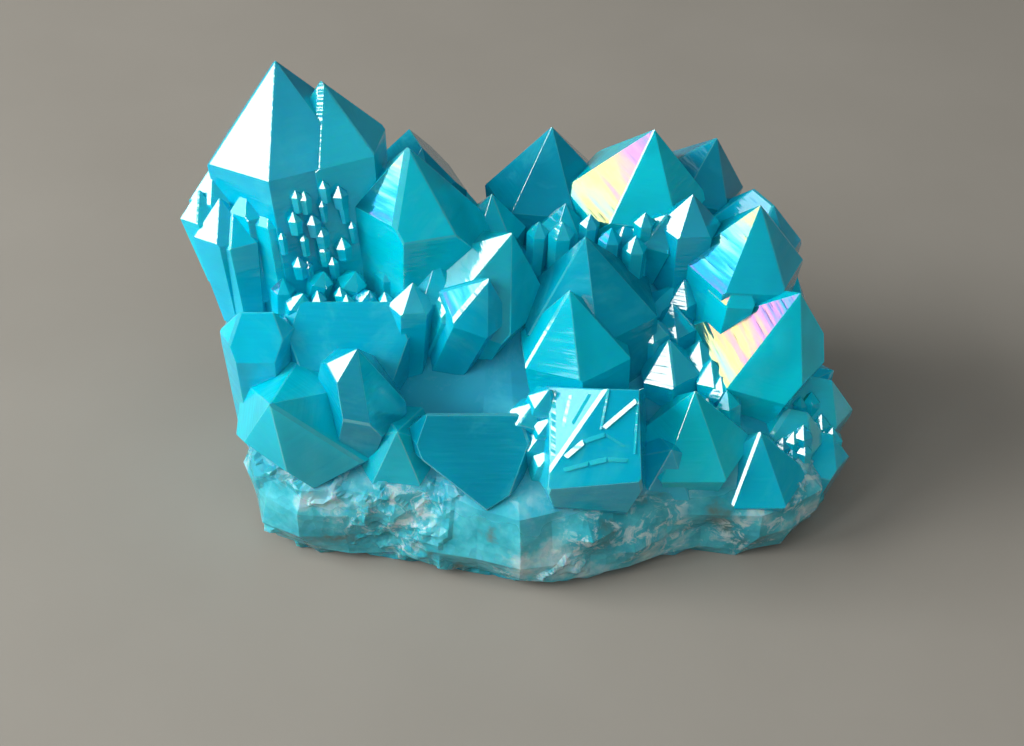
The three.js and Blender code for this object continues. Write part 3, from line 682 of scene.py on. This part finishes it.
def body_colour(n, place, kind, tint, film):
    """The quartz under the film: a tone from deep to light teal that is random or, where given per point,
    painted light and shade, milky clouds and veils, darker depths, a dark ground under the coloured film
    and edges painted paler as a painted highlight."""
    # Deep to light teal by tone and shade: where given per point it is painted light and shade.
    body = n.ramp(tint, [(0.0, srgb(0, 118, 152)), (0.5, srgb(0, 190, 226)), (1.0, srgb(0, 222, 240))])
    body = n.mix(n.math("MULTIPLY", n.noise(place, 60.0, 3.0), 0.35), body, srgb(0, 235, 250))
    veils = n.ramp(n.noise(place, 55.0, 5.0, 0.65, 1.2), [(0.5, grey(0)), (0.72, grey(0.4))])
    body = n.mix(veils, body, srgb(90, 235, 245))
    depths = n.ramp(n.noise(place, 38.0, 2.0, 0.5, 0.8), [(0.3, grey(0.3)), (0.5, grey(0))])
    body = n.mix(depths, body, srgb(0, 90, 120))
    coloured = n.math("GREATER_THAN", film, float(COLOUR_FILM))
    body = n.mix(n.math("MULTIPLY", coloured, 0.65), body, srgb(15, 75, 85))
    # Sharp edges painted paler: a painted highlight along them.
    return n.mix(n.math("MULTIPLY", n.math("COMPARE", kind, EDGE, 0.5), 0.25), body, srgb(110, 240, 250))


def stone_colour(n, place):
    """The broken foot: a mottle from grey green to pale teal, with near white flecks in patches that are
    partly the stone's milky white and partly painted glints.
    """
    stone = n.ramp(n.noise(place, 110.0, 5.0, 0.6), [
        (0.33, srgb(100, 138, 134)), (0.43, srgb(50, 182, 198)),
        (0.55, srgb(88, 208, 222)), (0.69, srgb(208, 240, 242)),
    ])
    # Tiny near white flecks in patches: partly milky stone, partly painted glints.
    flecks_and_glints = n.ramp(n.noise(place, 380.0, 5.0, 0.72, 0.8), [(0.52, grey(0)), (0.62, grey(1))])
    patches = n.ramp(n.noise(place, 70.0, 3.0), [(0.46, grey(0)), (0.58, grey(0.8))])
    return n.mix(n.math("MULTIPLY", flecks_and_glints, patches), stone, srgb(228, 248, 248))


def film_thickness(n, kind, film, below, lines, broken):
    """The film in nanometres: a coloured one drifts thinner down its face and with the growth lines,
    the sides carry a quarter of what the ends do, and the bare stone has none."""
    coloured = n.math("GREATER_THAN", film, float(COLOUR_FILM))
    fade = n.math("MULTIPLY", below, FILM_DRIFT)
    wave = n.math("MULTIPLY", n.math("SUBTRACT", lines, 0.5), FILM_WAVE)
    thickness = n.math("ADD", film, n.math("MULTIPLY", coloured, n.math("ADD", fade, wave)))
    ends = n.math("SUBTRACT", 1.0, n.math("MULTIPLY", n.math("COMPARE", kind, PRISM, 0.5), 0.75))
    return n.math("MULTIPLY", thickness, n.math("MULTIPLY", ends, n.math("SUBTRACT", 1.0, broken)))


BARE_FROM, BARE_TO = 0.019, 0.026  # heights in metres between which the foot's bare stone gives way
FILM_DRIFT = -6000.0  # nanometres for each metre down from the tip
FILM_WAVE = 90.0  # nanometres from one growth line to the next
LINES_ALONG, LINES_ACROSS = 1500.0, 110.0  # how fine the growth lines are down and across a face
QUARTZ_CONSTANTS = {
    "IOR": 1.54, "Metallic": 0.0, "Transmission Weight": 0.4, "Thin Film IOR": 2.1,
    "Subsurface Weight": 0.5, "Subsurface Scale": 0.006,
}


def coated_quartz():
    """Clear quartz under a thin metal film: teal body, glassy coloured gloss, growth lines, broken foot."""
    material = bpy.data.materials.new("coated_quartz")
    material.use_nodes = True
    tree = material.node_tree
    tree.nodes.clear()
    n = Nodes(tree)
    place = n.add("ShaderNodeTexCoord").outputs["Object"]
    kind, tint, film = n.attribute("kind"), n.attribute("tint"), n.attribute("film")
    tip, axis = n.attribute("tip", "Vector"), n.attribute("axis", "Vector")
    foot = n.math("GREATER_THAN", kind, BROKEN - 0.5)
    height_here = n.add("ShaderNodeSeparateXYZ", Vector=place).outputs["Z"]
    ragged = n.math("MULTIPLY", n.noise(place, 120.0, 2.0), 0.014)
    bare = n.add(
        "ShaderNodeMapRange", _0=n.math("ADD", height_here, ragged), _1=BARE_FROM, _2=BARE_TO, _3=1.0, _4=0.0,
    )
    broken = n.math("MULTIPLY", foot, bare.outputs[0])
    from_tip = n.vector("SUBTRACT", place, tip)
    below = n.math("MULTIPLY", n.vector("DOT_PRODUCT", from_tip, axis, output=1), -1.0)
    colour = n.mix(broken, body_colour(n, place, kind, tint, film), stone_colour(n, place))
    rough = n.math("ADD", 0.06, n.math("MULTIPLY", foot, 0.7))
    rough = n.math("SUBTRACT", rough, n.math("MULTIPLY", broken, 0.6))
    along = n.scaled(axis, n.math("MULTIPLY", below, LINES_ALONG))
    lines = n.noise(n.vector("ADD", along, n.scaled(from_tip, LINES_ACROSS)), 1.0, 2.0)
    grain = n.add("ShaderNodeTexVoronoi", Vector=place, Scale=650.0).outputs["Distance"]
    height = n.math("ADD", lines, n.math("MULTIPLY", n.math("MULTIPLY", grain, broken), 2.2))
    bump = n.add("ShaderNodeBump", Strength=0.3, Distance=0.00025, Height=height).outputs[0]
    shader = n.add("ShaderNodeBsdfPrincipled")
    for key, value in {
        "Base Color": colour, "Roughness": rough, "Normal": bump,
        "Thin Film Thickness": film_thickness(n, kind, film, below, lines, broken),
    }.items():
        tree.links.new(value, shader.inputs[key])
    for key, value in QUARTZ_CONSTANTS.items():
        shader.inputs[key].default_value = value
    inside = n.add("ShaderNodeVolumeAbsorption", Color=(0.05, 0.75, 0.85, 1), Density=40.0)
    end = n.add("ShaderNodeOutputMaterial")
    tree.links.new(shader.outputs[0], end.inputs["Surface"])
    tree.links.new(inside.outputs[0], end.inputs["Volume"])
    return material


def plain_floor():
    """Pale warm grey with a very faint mottle."""
    material = bpy.data.materials.new("pale_floor")
    material.use_nodes = True
    tree = material.node_tree
    n = Nodes(tree)
    shader = tree.nodes["Principled BSDF"]
    place = n.add("ShaderNodeTexCoord").outputs["Object"]
    colour = n.mix(n.noise(place, 25.0, 6.0), srgb(122, 118, 110), srgb(132, 128, 120))
    tree.links.new(colour, shader.inputs["Base Color"])
    shader.inputs["Roughness"].default_value = 0.7
    return material


# ---- The cluster --------------------------------------------------------------------------------

UNDER_REACH = 90  # half the width of the block that cuts the underside flat
UNDER_DEPTH = 60


def block_below(collection):
    """A block whose top lies on the floor plane, to cut the underside flat."""
    level = (-UNDER_REACH, UNDER_REACH)
    places = [(x, y, z) for z in (-UNDER_DEPTH, 0) for y in level for x in level]
    faces = [[0, 2, 3, 1], [4, 5, 7, 6], [0, 1, 5, 4], [2, 6, 7, 3], [0, 4, 6, 2], [1, 3, 7, 5]]
    return mesh_object("below", np.array(places, dtype=float), faces, {}, collection)


def grown_cluster():
    """The foot with every point and ridge joined to it, cut flat underneath, as one plain mesh."""
    scene_collection = bpy.context.scene.collection
    parts = bpy.data.collections.new("grown_together")
    scene_collection.children.link(parts)
    for index, (attitude, tip, radius, length, special) in enumerate(all_points()):
        quartz_point(index + 1, attitude, tip, radius, length, special, parts)
    for number, face in enumerate(RIDGED_FACES):
        for index, line in enumerate(face[-1]):
            growth_ridge(f"ridge_{number}_{index:02d}", face, line, parts)
    cluster = broken_foot(scene_collection)
    cluster.name = "aqua_quartz_cluster"
    join = cluster.modifiers.new("grown together", "BOOLEAN")
    join.operation = "UNION"
    join.solver = "MANIFOLD"
    join.operand_type = "COLLECTION"
    join.collection = parts
    below = block_below(scene_collection)
    cut = cluster.modifiers.new("flat underside", "BOOLEAN")
    cut.operation = "DIFFERENCE"
    cut.solver = "MANIFOLD"
    cut.object = below
    graph = bpy.context.evaluated_depsgraph_get()
    joined = bpy.data.meshes.new_from_object(
        cluster.evaluated_get(graph), preserve_all_data_layers=True, depsgraph=graph,
    )
    cluster.modifiers.clear()
    cluster.data = joined
    joined.name = "aqua_quartz_cluster"
    for thing in [*parts.objects, below]:
        bpy.data.objects.remove(thing)
    bpy.data.collections.remove(parts)
    joined.materials.clear()
    joined.materials.append(coated_quartz())
    joined.polygons.foreach_set("material_index", np.zeros(len(joined.polygons), dtype=np.int32))
    joined.polygons.foreach_set("use_smooth", np.zeros(len(joined.polygons), dtype=bool))
    return cluster


cluster = grown_cluster()
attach(cluster, "root")
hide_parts("quartz_cluster")

# ---- Floor, light and camera ---------------------------------------------------------------------

bpy.ops.mesh.primitive_plane_add(size=4)
floor = bpy.context.object
floor.name = "floor"
floor.data.materials.append(plain_floor())

ROOM_COLOUR = (0.75, 0.78, 0.8, 1)
ROOM_STRENGTH = 0.07
AIM_HEIGHT = 0.02  # the lights and the camera look at this height above the floor's middle

# Lights: name, direction, distance, width and height in metres, power, and whether gloss mirrors it.
LIGHTS = [
    ("window", (-0.9, 0.05, 0.5), 1.0, 0.5, 0.5, 3.0, True),
    ("window wall", (-0.9, 0.05, 0.43), 1.1, 1.1, 0.9, 2.6, True),
    ("strip", (-0.547, -0.567, 0.65), 1.0, 0.22, 0.75, 2.4, True),
    ("window glow", (-0.9, -0.15, 0.5), 0.8, 0.5, 0.5, 10, False),
    ("ceiling", (0.2, -0.65, 0.9), 1.4, 1.6, 1.6, 12.5, False),
]
CAMERA_PLACE = (0, -0.25126, 0.23083)
LENS, SENSOR_WIDTH = 76, 36  # in millimetres

world = bpy.data.worlds.new("room")
bpy.context.scene.world = world
world.use_nodes = True
world.node_tree.nodes["Background"].inputs["Color"].default_value = ROOM_COLOUR
world.node_tree.nodes["Background"].inputs["Strength"].default_value = ROOM_STRENGTH


def soft_light(name, toward, distance, width, height, power, mirrored):
    """A rectangular area light at a distance along a direction, facing the cluster's middle."""
    lamp = bpy.data.lights.new(name, "AREA")
    lamp.shape = "RECTANGLE"
    lamp.size, lamp.size_y = width, height
    lamp.energy = power
    thing = bpy.data.objects.new(name, lamp)
    direction = Vector(toward).normalized()
    thing.location = direction * distance + Vector((0, 0, AIM_HEIGHT))
    thing.rotation_euler = direction.to_track_quat("Z", "Y").to_euler()
    thing.visible_glossy = mirrored
    bpy.context.scene.collection.objects.link(thing)


for light in LIGHTS:
    soft_light(*light)

lens = bpy.data.cameras.new("camera")
lens.lens = LENS
lens.sensor_width = SENSOR_WIDTH
camera = bpy.data.objects.new("camera", lens)
camera.location = CAMERA_PLACE
aim = Vector((0, 0, AIM_HEIGHT)) - Vector(camera.location)
camera.rotation_euler = aim.to_track_quat("-Z", "Y").to_euler()
bpy.context.scene.collection.objects.link(camera)
bpy.context.scene.camera = camera
bpy.context.scene.view_settings.view_transform = "Standard"
